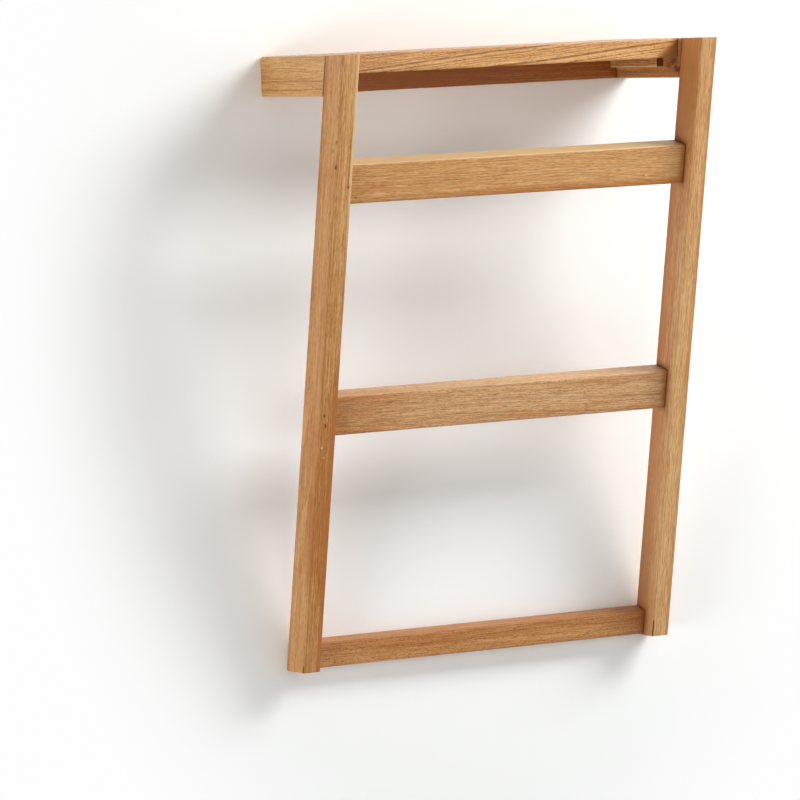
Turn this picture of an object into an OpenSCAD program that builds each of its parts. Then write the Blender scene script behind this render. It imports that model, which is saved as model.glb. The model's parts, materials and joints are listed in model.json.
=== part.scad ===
// Wall towel rack with a narrow shelf, in solid teak. Two side rails lean out
// from the wall, two arms tie their tops back to it, and cross pieces join
// them. X runs along the wall, Y goes into it and Z is up. The origin lies on
// the wall's face, midway between the two hanging holes.

/* [Rack] */
// Width over the side rails
rack_w = 500; // [360:5:800]
// Height from the rails' feet to the top of the shelf
rack_h = 725; // [620:5:900]
// Depth from the wall to the front of the rails at the top
rack_d = 210; // [190:1:260]

/* [Side rails and arms] */
// Width of the side rails and of the arms, across the rack
rail_w = 22.5; // [19:0.5:30]
// Depth of a side rail, square to its length
rail_d = 42.5; // [36:0.5:55]
// Height of an arm
arm_h = 47; // [40:0.5:60]
// Rounding of an arm's two corners at the wall
arm_corner_r = 3.5; // [1:0.5:6]
// Height of the flat where a rail's foot sits on the wall
foot_flat_h = 6; // [4:0.5:12]
// Rounding of a rail's corner under that flat
foot_corner_r = 2.5; // [1:0.5:3]
// Rounding of the long edges of the rails, arms and cross pieces
edge_r = 2; // [0.5:0.5:3]

/* [Cross pieces] */
// Thickness of a towel slat, from its back to its front
slat_t = 28; // [22:0.5:34]
// Height of a towel slat
slat_h = 47; // [38:0.5:60]
// Upper slat's lower edge, measured down the rails from their top
upper_slat_drop = 170.5; // [130:0.5:240]
// Middle slat's lower edge, measured down the rails from their top
middle_slat_drop = 449; // [320:0.5:520]
// Thickness of the bottom rail
bottom_rail_t = 21.5; // [18:0.5:30]
// Height of the bottom rail
bottom_rail_h = 30.5; // [26:0.5:40]
// Bottom rail's lower edge above the foot flats, along the rails
bottom_rail_lift = 0.5; // [0.5:0.5:30]
// Thickness of the back rail on the wall
back_rail_t = 11; // [10:0.5:18]
// Height of the back rail on the wall
back_rail_h = 46.5; // [40:0.5:60]
// Thickness of the front rail of the shelf
front_rail_t = 22.5; // [16:0.5:28]
// Height of the front rail of the shelf
front_rail_h = 22.5; // [20:0.5:24]
// Front rail's face behind the front ends of the arms
front_rail_setback = 10; // [6:0.5:16]

/* [Shelf] */
// Thickness of the shelf boards
board_t = 14; // [12:0.5:16]
// Drainage gap between the shelf boards and along their edges
board_gap = 3; // [1:0.5:6]
// Gap between the ends of a shelf board and the arms
board_end_gap = 1; // [0.5:0.5:3]
// Rounding of the shelf boards' long edges
board_edge_r = 1.5; // [0.5:0.5:3]
// Thickness of the cleats that carry the shelf
cleat_t = 9; // [8:0.5:14]
// Height of the cleats
cleat_h = 19.5; // [18:0.5:24]
// Gap between a cleat's front end and the front rail
cleat_front_gap = 13.5; // [6:0.5:20]

/* [Joints and screws] */
// Radius of the large dowels
dowel_r = 4; // [3:0.5:5]
// Distance between the large dowels of a slat joint
slat_dowel_pitch = 24; // [16:1:28]
// Radius of the small dowels of the shelf frame and the bottom rail
small_dowel_r = 3; // [2:0.5:3]
// Distance between the small dowels of the bottom rail
bottom_dowel_pitch = 14; // [10:1:16]
// Distance between the small dowels of the front rail
front_dowel_pitch = 11; // [9:0.5:12]
// Distance between the small dowels of the back rail
back_dowel_pitch = 24; // [16:1:30]
// Depth of a dowel in a side rail's or an arm's face
dowel_in_face = 15; // [10:0.5:16]
// Depth of a dowel in the end of a piece
dowel_in_end = 24; // [16:1:30]
// Shank radius of the cleat screws
cleat_screw_r = 1.75; // [1.25:0.25:2]
// Length of the cleat screws
cleat_screw_l = 25; // [18:1:28]
// Shank radius of the shelf screws
shelf_screw_r = 1.5; // [1:0.25:1.5]
// Depth of a shelf screw's thread in its board
shelf_screw_grip = 9; // [6:0.5:10]

/* [Hangers] */
// Distance of each hanging hole from the arm beside it
hanger_inset = 37.5; // [32:0.5:120]
// Width of a hanger plate
plate_w = 16; // [14:0.5:20]
// Wood left above and below a hanger plate
plate_margin = 3.25; // [2:0.25:5]
// Thickness of a hanger plate
plate_t = 2; // [1:0.5:2.5]
// Rounding of a hanger plate's corners
plate_corner_r = 3; // [1:0.5:5]
// Radius of the hole that a wall screw's head enters
entry_r = 5; // [4:0.25:5.5]
// Radius of the slot that holds a wall screw's neck
slot_r = 2.25; // [1.5:0.25:2.5]
// Rise of the slot above the entry hole
slot_rise = 9; // [7:0.5:9]
// Distance of a plate screw from the end of its plate
plate_screw_inset = 4.5; // [3.5:0.25:5]
// Shank radius of the plate screws
plate_screw_r = 1.25; // [1:0.25:1.5]
// Wood left in front of the plate screws' points
plate_screw_cover = 2; // [1.5:0.5:4]

/* [Hidden] */
$fn = 48;

// How far a cut runs past the face that it opens
overrun = 1;
// Radial room for glue round a dowel, and the air at its ends
glue_gap = 0.1;
dowel_end_gap = 1;
// Radial room round a screw in its hole
screw_gap = 0.1;
// Room round a hanger plate in its recess
plate_gap = 0.2;
// Depth behind a hanger plate for the wall screw's head, and its radial room
head_room_d = 5;
head_room_gap = 1;
// Hanging hole below the middle of its plate
entry_below_middle = 4;
// Cleat screws below the top of their cleat
cleat_screw_drop = 6.5;
// Depth of the bore that sinks a shelf screw's head in its cleat
shelf_screw_sink = 7.5;

// Arm dowels' places, as shares of the arm's height under the front rail's dowels
arm_dowel_shares = [0.25, 0.75];
// A countersunk screw's head, point and cross recess as shares of its shank's radius
head_r_share = 2;
head_h_share = 1.2;
point_share = 2;
recess_len_share = 2.4;
recess_wide_share = 0.5;
recess_deep_share = 0.8;

teak = "#c08c54";
teak_pale = "#cc9c62";
teak_dark = "#a5703c";
beech = "#d9bd90";
steel = "#9a9c9e";

// Lean of the side rails: their back meets the wall at the top of the foot flat
lean_reach = sqrt(pow(rack_d, 2) + pow(rack_h - foot_flat_h, 2));
lean = acos(rail_d / lean_reach) - atan2(rack_h - foot_flat_h, rack_d);
top_z = back_rail_h / 2 + entry_below_middle;
foot_z = top_z - rack_h;
rail_x = (rack_w - rail_w) / 2;
inner_w = rack_w - 2 * rail_w;
arm_l = rack_d - rail_d / cos(lean);
rail_l = rack_h / cos(lean);
bottom_rail_drop = rail_l - foot_flat_h / cos(lean) - bottom_rail_lift;
arm_z = top_z - arm_h / 2;
cleat_top_z = top_z - board_t;
front_rail_y = -(arm_l - front_rail_setback - front_rail_t / 2);
front_rail_back = -(arm_l - front_rail_setback - front_rail_t);
shelf_d = -front_rail_back - back_rail_t;
board_w = (shelf_d - 4 * board_gap) / 3;
cleat_l = shelf_d - cleat_front_gap;
cleat_x = inner_w / 2 - cleat_t / 2;
plate_z = entry_below_middle;
plate_h = back_rail_h - 2 * plate_margin;
plate_screw_pitch = plate_h - 2 * plate_screw_inset;
plate_screw_l = back_rail_t - plate_screw_cover;
hanger_x = inner_w / 2 - hanger_inset;
shelf_screw_l = cleat_h - shelf_screw_sink + shelf_screw_grip;
front_dowels_drop = (front_rail_h + front_dowel_pitch) / 2 + small_dowel_r;

// Places along the shelf's depth: the boards' middles, and the cleat screws between them
function board_y(n) = front_rail_back + (n + 1) * board_gap + (n + 0.5) * board_w;
cleat_screw_places = [(board_y(0) + board_y(1)) / 2, (board_y(1) + board_y(2)) / 2];

module rounded_section(w, h, r) {
    square([w - 2 * r, h], center = true);
    square([w, h - 2 * r], center = true);
    for (a = [-1, 1], b = [-1, 1])
        translate([a * (w / 2 - r), b * (h / 2 - r)]) circle(r);
}

// Turns a drawing into a solid that runs along X, with the drawing's own X along Y
module along_x(length) {
    rotate([90, 0, 90]) linear_extrude(length, center = true) children();
}

module cross_bar(length, t, h, r) {
    along_x(length) rounded_section(t, h, r);
}

// What a rounded corner removes, where the corner is at the origin and the
// material lies towards toward_x and toward_y
module corner_cut(r, toward_x, toward_y) {
    difference() {
        translate([toward_x * (r - overrun) / 2, toward_y * (r - overrun) / 2])
            square(r + overrun, center = true);
        translate([toward_x * r, toward_y * r]) circle(r);
    }
}

// Frame of the side rails: origin at their back at the top, Z up along them, -Y to their front
module in_rails() {
    translate([0, -arm_l, top_z]) rotate([lean, 0, 0]) children();
}

module at_slat(drop, t, h) {
    in_rails() translate([0, -t / 2, h / 2 - drop]) children();
}
module at_upper_slat() { at_slat(upper_slat_drop, slat_t, slat_h) children(); }
module at_middle_slat() { at_slat(middle_slat_drop, slat_t, slat_h) children(); }
module at_bottom_rail() {
    at_slat(bottom_rail_drop, bottom_rail_t, bottom_rail_h) children();
}
module at_front_rail() { translate([0, front_rail_y, top_z - front_rail_h / 2]) children(); }
module at_back_rail() { translate([0, -back_rail_t / 2, top_z - back_rail_h / 2]) children(); }

// Two dowels at each end of a cross piece; gap and end_gap turn them into their holes
module cross_dowels(r, pitch, gap = 0, end_gap = 0) {
    for (side = [-1, 1], up = [-1, 1])
        translate([side * inner_w / 2, 0, up * pitch / 2]) rotate([0, side * 90, 0])
            translate([0, 0, -dowel_in_end - end_gap])
                cylinder(h = dowel_in_end + dowel_in_face + 2 * end_gap, r = r + gap);
}
module upper_dowels(gap = 0, end_gap = 0) {
    at_upper_slat() cross_dowels(dowel_r, slat_dowel_pitch, gap, end_gap);
}
module middle_dowels(gap = 0, end_gap = 0) {
    at_middle_slat() cross_dowels(dowel_r, slat_dowel_pitch, gap, end_gap);
}
module bottom_dowels(gap = 0, end_gap = 0) {
    at_bottom_rail() cross_dowels(small_dowel_r, bottom_dowel_pitch, gap, end_gap);
}
module front_dowels(gap = 0, end_gap = 0) {
    at_front_rail() cross_dowels(small_dowel_r, front_dowel_pitch, gap, end_gap);
}
module back_dowels(gap = 0, end_gap = 0) {
    at_back_rail() cross_dowels(small_dowel_r, back_dowel_pitch, gap, end_gap);
}

// Two level dowels from the front end of an arm into the back of its side rail
module arm_dowels(side, gap = 0, end_gap = 0) {
    for (share = arm_dowel_shares) {
        drop = front_dowels_drop + share * (arm_h - front_dowels_drop);
        joint_y = -arm_l + drop * tan(lean);
        translate([side * rail_x, joint_y + dowel_in_end + end_gap, top_z - drop])
            rotate([90, 0, 0])
                cylinder(h = 2 * (dowel_in_end + end_gap), r = dowel_r + gap);
    }
}

// A countersunk screw that points along +Z, with the face of its head at the origin
module screw(r, length) {
    difference() {
        rotate_extrude() polygon([
            [0, 0], [head_r_share * r, 0], [r, head_h_share * r],
            [r, length - point_share * r], [0, length]
        ]);
        for (turn = [0, 90])
            rotate(turn)
                cube([recess_len_share * r, recess_wide_share * r, 2 * recess_deep_share * r],
                    center = true);
    }
}
// Its hole, with a plain bore of the head's size that reaches back by sink
module screw_hole(r, length, sink) {
    rotate_extrude() polygon([
        [0, -sink], [head_r_share * r + screw_gap, -sink],
        [head_r_share * r + screw_gap, 0], [r + screw_gap, head_h_share * r],
        [r + screw_gap, length + screw_gap], [0, length + screw_gap]
    ]);
}

// Places of the screws on one side, each pointing the way that the screw is driven
module at_cleat_screws(side) {
    for (y = cleat_screw_places)
        translate([side * (inner_w / 2 - cleat_t), y, cleat_top_z - cleat_screw_drop])
            rotate([0, side * 90, 0]) children();
}
module at_shelf_screws(side) {
    for (n = [0, 1, 2])
        translate([side * cleat_x, board_y(n), cleat_top_z - cleat_h + shelf_screw_sink])
            children();
}
module at_plate_screws(side) {
    for (up = [-1, 1])
        translate([side * hanger_x, 0, plate_z + up * plate_screw_pitch / 2])
            rotate([90, 0, 0]) children();
}

module side_rail(side) {
    rise = rail_d * tan(lean);
    difference() {
        intersection() {
            in_rails() translate([side * rail_x, -rail_d / 2, -rail_l - overrun])
                linear_extrude(rail_l + rise + 2 * overrun)
                    rounded_section(rail_w, rail_d, edge_r);
            translate([side * rail_x, -rack_d / 2, foot_z + rack_h / 2])
                cube([rail_w + 2 * overrun, rack_d, rack_h], center = true);
        }
        translate([side * rail_x, 0, foot_z]) along_x(rail_w + 2 * overrun)
            corner_cut(foot_corner_r, -1, 1);
        arm_dowels(side, glue_gap, dowel_end_gap);
        upper_dowels(glue_gap, dowel_end_gap);
        middle_dowels(glue_gap, dowel_end_gap);
        bottom_dowels(glue_gap, dowel_end_gap);
    }
}

module arm(side) {
    difference() {
        intersection() {
            translate([side * rail_x, 0, arm_z]) rotate([90, 0, 0])
                linear_extrude(arm_l) rounded_section(rail_w, arm_h, edge_r);
            translate([side * rail_x, 0, 0]) along_x(rail_w + 2 * overrun) arm_outline();
        }
        arm_dowels(side, glue_gap, dowel_end_gap);
        front_dowels(glue_gap, dowel_end_gap);
        back_dowels(glue_gap, dowel_end_gap);
        at_cleat_screws(side) screw_hole(cleat_screw_r, cleat_screw_l, 0);
    }
}
// Side view of an arm: its front end lies on the slant of the rail's back
module arm_outline() {
    difference() {
        polygon([
            [0, top_z], [-arm_l, top_z],
            [-arm_l + arm_h * tan(lean), top_z - arm_h], [0, top_z - arm_h]
        ]);
        translate([0, top_z]) corner_cut(arm_corner_r, -1, -1);
        translate([0, top_z - arm_h]) corner_cut(arm_corner_r, -1, 1);
    }
}

module towel_slat() { cross_bar(inner_w, slat_t, slat_h, edge_r); }

module shelf_board(n) {
    color(teak_pale) difference() {
        translate([0, board_y(n), top_z - board_t / 2])
            cross_bar(inner_w - 2 * board_end_gap, board_w, board_t, board_edge_r);
        for (side = [-1, 1])
            at_shelf_screws(side) screw_hole(shelf_screw_r, shelf_screw_l, 0);
    }
}

module cleat(side) {
    color(teak) difference() {
        translate([side * cleat_x, -back_rail_t - cleat_l / 2, cleat_top_z - cleat_h / 2])
            cube([cleat_t, cleat_l, cleat_h], center = true);
        at_cleat_screws(side) screw_hole(cleat_screw_r, cleat_screw_l, overrun);
        at_shelf_screws(side)
            screw_hole(shelf_screw_r, shelf_screw_l, shelf_screw_sink + overrun);
    }
}

// Flat outline of a hanger plate, in X and Z, and of its keyhole
module plate_outline(gap) {
    translate([0, plate_z])
        rounded_section(plate_w + 2 * gap, plate_h + 2 * gap, plate_corner_r);
}
module keyhole(hole_r, neck_r) {
    circle(hole_r);
    translate([0, slot_rise]) circle(neck_r);
    translate([0, slot_rise / 2]) square([2 * neck_r, slot_rise], center = true);
}
// Turns such an outline into a solid from depth_from to depth_to below the wall's face
module in_back(side, depth_from, depth_to) {
    translate([side * hanger_x, -depth_from, 0]) rotate([90, 0, 0])
        linear_extrude(depth_to - depth_from) children();
}
module hanger_plate(side) {
    color(steel) difference() {
        in_back(side, 0, plate_t) plate_outline(0);
        in_back(side, -overrun, plate_t + overrun) keyhole(entry_r, slot_r);
        at_plate_screws(side) screw_hole(plate_screw_r, plate_screw_l, overrun);
    }
}

module left_side_rail() { color(teak) side_rail(-1); }
module right_side_rail() { color(teak) side_rail(1); }
module left_arm() { color(teak_pale) arm(-1); }
module right_arm() { color(teak_pale) arm(1); }
module back_rail() {
    color(teak_dark) difference() {
        at_back_rail() cross_bar(inner_w, back_rail_t, back_rail_h, edge_r);
        back_dowels(glue_gap, dowel_end_gap);
        for (side = [-1, 1]) {
            in_back(side, -overrun, plate_t) plate_outline(plate_gap);
            in_back(side, -overrun, plate_t + head_room_d)
                keyhole(entry_r + head_room_gap, entry_r + head_room_gap);
            at_plate_screws(side) screw_hole(plate_screw_r, plate_screw_l, overrun);
        }
    }
}
module front_rail() {
    color(teak_pale) difference() {
        at_front_rail() cross_bar(inner_w, front_rail_t, front_rail_h, edge_r);
        front_dowels(glue_gap, dowel_end_gap);
    }
}
module upper_towel_slat() {
    color(teak) difference() {
        at_upper_slat() towel_slat();
        upper_dowels(glue_gap, dowel_end_gap);
    }
}
module middle_towel_slat() {
    color(teak) difference() {
        at_middle_slat() towel_slat();
        middle_dowels(glue_gap, dowel_end_gap);
    }
}
module bottom_rail() {
    color(teak_dark) difference() {
        at_bottom_rail() cross_bar(inner_w, bottom_rail_t, bottom_rail_h, edge_r);
        bottom_dowels(glue_gap, dowel_end_gap);
    }
}
module shelf_board_front() { shelf_board(0); }
module shelf_board_middle() { shelf_board(1); }
module shelf_board_rear() { shelf_board(2); }
module left_cleat() { cleat(-1); }
module right_cleat() { cleat(1); }
module left_arm_dowels() { color(beech) arm_dowels(-1); }
module right_arm_dowels() { color(beech) arm_dowels(1); }
module back_rail_dowels() { color(beech) back_dowels(); }
module front_rail_dowels() { color(beech) front_dowels(); }
module upper_slat_dowels() { color(beech) upper_dowels(); }
module middle_slat_dowels() { color(beech) middle_dowels(); }
module bottom_rail_dowels() { color(beech) bottom_dowels(); }
module cleat_screws(side) {
    color(steel) at_cleat_screws(side) screw(cleat_screw_r, cleat_screw_l);
}
module left_cleat_screws() { cleat_screws(-1); }
module right_cleat_screws() { cleat_screws(1); }
module shelf_screws(side) {
    color(steel) at_shelf_screws(side) screw(shelf_screw_r, shelf_screw_l);
}
module left_shelf_screws() { shelf_screws(-1); }
module right_shelf_screws() { shelf_screws(1); }
module left_hanger_plate() { hanger_plate(-1); }
module right_hanger_plate() { hanger_plate(1); }
module hanger_screws(side) {
    color(steel) at_plate_screws(side) screw(plate_screw_r, plate_screw_l);
}
module left_hanger_screws() { hanger_screws(-1); }
module right_hanger_screws() { hanger_screws(1); }

left_side_rail();
right_side_rail();
left_arm();
right_arm();
back_rail();
front_rail();
upper_towel_slat();
middle_towel_slat();
bottom_rail();
shelf_board_front();
shelf_board_middle();
shelf_board_rear();
left_cleat();
right_cleat();
left_arm_dowels();
right_arm_dowels();
back_rail_dowels();
front_rail_dowels();
upper_slat_dowels();
middle_slat_dowels();
bottom_rail_dowels();
left_cleat_screws();
right_cleat_screws();
left_shelf_screws();
right_shelf_screws();
left_hanger_plate();
right_hanger_plate();
left_hanger_screws();
right_hanger_screws();
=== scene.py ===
import json
import math

import bmesh
import bpy
import numpy as np
from mathutils import Matrix, Vector, noise

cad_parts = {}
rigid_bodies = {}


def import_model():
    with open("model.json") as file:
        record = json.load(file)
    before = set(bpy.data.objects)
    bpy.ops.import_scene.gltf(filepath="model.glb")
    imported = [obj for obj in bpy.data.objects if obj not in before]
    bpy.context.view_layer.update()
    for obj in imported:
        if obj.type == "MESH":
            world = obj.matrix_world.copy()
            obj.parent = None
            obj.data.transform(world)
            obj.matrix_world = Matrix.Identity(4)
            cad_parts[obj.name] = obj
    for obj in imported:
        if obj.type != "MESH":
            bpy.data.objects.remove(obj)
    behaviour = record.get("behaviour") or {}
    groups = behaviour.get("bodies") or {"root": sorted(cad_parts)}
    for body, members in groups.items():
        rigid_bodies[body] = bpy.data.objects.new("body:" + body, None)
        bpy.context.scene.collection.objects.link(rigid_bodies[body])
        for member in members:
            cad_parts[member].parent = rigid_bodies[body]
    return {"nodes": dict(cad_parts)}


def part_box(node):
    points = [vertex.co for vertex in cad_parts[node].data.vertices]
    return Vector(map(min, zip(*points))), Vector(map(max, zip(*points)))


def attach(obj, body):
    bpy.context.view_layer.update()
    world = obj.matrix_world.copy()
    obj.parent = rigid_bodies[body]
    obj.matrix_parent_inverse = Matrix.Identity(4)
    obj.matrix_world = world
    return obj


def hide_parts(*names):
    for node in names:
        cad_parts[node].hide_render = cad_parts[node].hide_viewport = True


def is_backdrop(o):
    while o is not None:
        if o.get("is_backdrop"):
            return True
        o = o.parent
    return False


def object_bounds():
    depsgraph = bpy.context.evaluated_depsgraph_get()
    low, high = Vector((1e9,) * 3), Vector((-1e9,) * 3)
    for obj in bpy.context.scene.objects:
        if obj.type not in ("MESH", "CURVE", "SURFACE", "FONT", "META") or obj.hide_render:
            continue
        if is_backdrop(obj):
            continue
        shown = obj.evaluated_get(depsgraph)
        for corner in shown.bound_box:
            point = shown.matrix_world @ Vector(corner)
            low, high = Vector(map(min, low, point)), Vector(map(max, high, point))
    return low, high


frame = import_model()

cad_low, cad_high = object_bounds()


# Side rails. Each is one length of teak, planed square, its long edges eased
# by hand, cut level at top and foot and flat where its heel meets the wall.
# Oiled, not varnished, so that the grain stays open and the sheen is low.

# Lengths are in metres, and in the shaders in millimetres
rail_arris = 0.0013
sawn_end_round = 0.0008
ring_step = 0.004
flat_step = 0.0025
arc_steps = 5
heel_round = 0.0035
heel_facets = 5
planing_depth = 0.00007
planing_reach = 0.045
hand_wear_depth = 0.00030
hand_wear_reach = 0.018
seed_strides = np.array((7, 11, 13))
bore_room = 0.0001
bore_end_room = 0.0010
bore_sides = 32
sharp_angle = math.radians(32)
weld_gap = 1e-6
cut_slack = 1e-7
mm_per_m = 1000

level_x = Vector((1, 0, 0))
level_y = Vector((0, 1, 0))
upright = Vector((0, 0, 1))


def lean_of(node):
    """Angle that a side rail leans out from the wall, from its front face."""
    front = min(frame["nodes"][node].data.polygons, key=lambda face: face.normal.y * face.area)
    return math.atan2(-front.normal.z, -front.normal.y)


lean = lean_of("left_side_rail")
up_rail = Vector((0, -math.sin(lean), math.cos(lean)))
rail_face = Vector((0, -math.cos(lean), -math.sin(lean)))


class Stick:
    """A piece of timber in its own axes: along the grain, across it, and to its face."""

    def __init__(self, node, grain, across, face):
        self.axes = (grain, across, face)
        points = np.array([v.co for v in frame["nodes"][node].data.vertices])
        places = points @ np.array([tuple(axis) for axis in self.axes]).T
        self.low, self.high = places.min(0), places.max(0)
        self.middle = (self.low + self.high) / 2
        self.half = (self.high - self.low) / 2

    def world(self, along, across, face):
        return self.axes[0] * along + self.axes[1] * across + self.axes[2] * face

    def section(self, arris, inset_across, inset_face):
        """Points round the section, each with its outward direction and its share of arris."""
        half_w, half_t = self.half[1] - inset_across, self.half[2] - inset_face
        flats = (
            max(2, round(2 * self.half[2] / flat_step)),
            max(2, round(2 * self.half[1] / flat_step)),
        )
        points = []
        for corner in range(4):
            turn = corner * math.pi / 2
            sign_w = (1, -1, -1, 1)[corner]
            sign_t = (1, 1, -1, -1)[corner]
            centre = (sign_w * (half_w - arris), sign_t * (half_t - arris))
            for step in range(arc_steps + 1):
                angle = turn + step / arc_steps * math.pi / 2
                out = (math.cos(angle), math.sin(angle))
                edge = math.sin(step / arc_steps * math.pi)
                points.append((centre[0] + arris * out[0], centre[1] + arris * out[1], out, edge))
            angle = turn + math.pi / 2
            out = (math.cos(angle), math.sin(angle))
            here = points[-1]
            span = 2 * (half_t if corner % 2 else half_w) - 2 * arris
            count = flats[0] if corner % 2 else flats[1]
            heading = (math.cos(angle + math.pi / 2), math.sin(angle + math.pi / 2))
            for step in range(1, count):
                reach = span * step / count
                points.append((here[0] + heading[0] * reach, here[1] + heading[1] * reach, out, 0))
        return points


def end_insets(round_across, round_face):
    """How far back and how far in the rings of a rounded end lie, from its face inward."""
    def inset(radius, back):
        return radius - math.sqrt(radius ** 2 - (radius - back) ** 2) if back < radius else 0

    deep = max(round_across, round_face)
    backs = [deep * (1 - math.cos(step / arc_steps * math.pi / 2)) for step in range(arc_steps + 1)]
    return [(back, inset(round_across, back), inset(round_face, back)) for back in backs]


def plane_on(stick, point, normal):
    """Where a plane cuts a stick: place along the grain, as a + b * across + c * face."""
    along, across, face = (normal.dot(axis) for axis in stick.axes)
    return point.dot(normal) / along, -across / along, -face / along


def unevenness(place):
    """Slow random waves between 0 and 1."""
    return 0.5 + 0.5 * noise.noise(place)


def skin(bm, rings):
    """Faces from ring to ring, and one across each end."""
    count = len(rings[0])
    for near, far in zip(rings, rings[1:]):
        for n in range(count):
            m = (n + 1) % count
            bm.faces.new((near[n], near[m], far[m], far[n]))
    bm.faces.new(list(reversed(rings[0])))
    bm.faces.new(rings[-1])


def shade(piece):
    """Smooth shading, but sharp at cuts."""
    piece.data.shade_smooth()
    piece.data.set_sharp_from_angle(angle=sharp_angle)


def finished(name, bm):
    """Object of a bmesh, with its faces turned outward."""
    bmesh.ops.recalc_face_normals(bm, faces=bm.faces)
    mesh = bpy.data.meshes.new(name)
    bm.to_mesh(mesh)
    bm.free()
    piece = bpy.data.objects.new(name, mesh)
    bpy.context.scene.collection.objects.link(piece)
    shade(piece)
    return piece


def timber(name, stick, arris, low_end, high_end, low_cut=None, high_cut=None):
    """Mesh of a stick with eased edges, slightly uneven as hand work leaves it."""
    low_cut = low_cut or (stick.low[0], 0, 0)
    high_cut = high_cut or (stick.high[0], 0, 0)
    length = stick.high[0] - stick.low[0]
    rings = [(0, back, w, t) for back, w, t in low_end]
    free = length - low_end[-1][0] - high_end[-1][0]
    spans = max(2, round(free / ring_step))
    rings += [(step / spans, None, 0, 0) for step in range(1, spans)]
    rings += [(1, -back, w, t) for back, w, t in reversed(high_end)]
    seed = Vector(stick.middle * seed_strides)
    bm = bmesh.new()
    grid = []
    for share, back, inset_w, inset_t in rings:
        ring = []
        slim = min(arris, stick.half[1] - inset_w, stick.half[2] - inset_t)
        for w, t, out, edge in stick.section(slim, inset_w, inset_t):
            across, face = stick.middle[1] + w, stick.middle[2] + t
            place = Vector((stick.low[0] + length * share + (back or 0), across, face))
            sunk = planing_depth * unevenness(place / planing_reach + seed)
            sunk += edge * hand_wear_depth * unevenness(place / hand_wear_reach + seed)
            across -= out[0] * sunk
            face -= out[1] * sunk
            ends = [cut[0] + cut[1] * across + cut[2] * face for cut in (low_cut, high_cut)]
            if back is None:
                first = ends[0] + low_end[-1][0]
                last = ends[1] - high_end[-1][0]
                along = first + (last - first) * share
            else:
                along = ends[share] + back
            ring.append(bm.verts.new(stick.world(along, across, face)))
        grid.append(ring)
    skin(bm, grid)
    return finished(name, bm)


def planed_off(piece, point, normal):
    """Cuts away what lies past a plane and closes the cut."""
    bm = bmesh.new()
    bm.from_mesh(piece.data)
    everything = bm.verts[:] + bm.edges[:] + bm.faces[:]
    cut = bmesh.ops.bisect_plane(
        bm, geom=everything, plane_co=point, plane_no=normal, clear_outer=True, dist=cut_slack)
    rim = [item for item in cut["geom_cut"] if isinstance(item, bmesh.types.BMEdge)]
    bmesh.ops.holes_fill(bm, edges=[edge for edge in rim if edge.is_boundary], sides=0)
    bmesh.ops.recalc_face_normals(bm, faces=bm.faces)
    bm.to_mesh(piece.data)
    bm.free()
    shade(piece)


def loose_parts(node):
    """Lowest and highest corner of each separate solid of a CAD node."""
    bm = bmesh.new()
    bm.from_mesh(frame["nodes"][node].data)
    bmesh.ops.remove_doubles(bm, verts=bm.verts, dist=weld_gap)
    left = set(bm.verts)
    parts = []
    while left:
        reached = {left.pop()}
        fresh = list(reached)
        while fresh:
            vert = fresh.pop()
            for edge in vert.link_edges:
                other = edge.other_vert(vert)
                if other not in reached:
                    reached.add(other)
                    fresh.append(other)
        left -= reached
        places = np.array([v.co for v in reached])
        parts.append((Vector(places.min(0)), Vector(places.max(0))))
    bm.free()
    return sorted(parts, key=lambda part: tuple(part[0]))


def turned(profile, start, axis):
    """Solid turned about an axis through start; profile is (place along the axis, radius)."""
    spin = axis.to_track_quat("Z", "Y").to_matrix()
    bm = bmesh.new()
    rings = []
    for along, radius in profile:
        ring = []
        for side in range(bore_sides):
            angle = math.tau * side / bore_sides
            rim = Vector((radius * math.cos(angle), radius * math.sin(angle), along))
            ring.append(bm.verts.new(start + spin @ rim))
        rings.append(ring)
    skin(bm, rings)
    return finished("cutter", bm)


def cut_from(piece, cutters):
    """Takes the cutters' solids out of a piece."""
    for cutter in cutters:
        step = piece.modifiers.new("cut", "BOOLEAN")
        step.operation = "DIFFERENCE"
        step.solver = "MANIFOLD"
        step.object = cutter
    graph = bpy.context.evaluated_depsgraph_get()
    whole = bpy.data.meshes.new_from_object(piece.evaluated_get(graph))
    piece.modifiers.clear()
    old = piece.data
    piece.data = whole
    bpy.data.meshes.remove(old)
    whole.name = piece.name
    for cutter in cutters:
        bpy.data.objects.remove(cutter)
    shade(piece)


def apart(piece, first, last):
    """Whether a box stays clear of a piece."""
    points = np.array([v.co for v in piece.data.vertices])
    low, high = points.min(0), points.max(0)
    return any(first[n] > high[n] or last[n] < low[n] for n in range(3))


def dowel_bores(piece, node):
    """Bores for the dowels of a node, where they reach into the piece."""
    cutters = []
    for first, last in loose_parts(node):
        if apart(piece, first, last):
            continue
        size = last - first
        axis = level_x if size.x > size.y else level_y
        radius = size.z / 2 + bore_room
        middle = (first + last) / 2
        reach = size.dot(axis) / 2 + bore_end_room
        cutters.append(turned([(-reach, radius), (reach, radius)], middle, axis))
    cut_from(piece, cutters)


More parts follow.
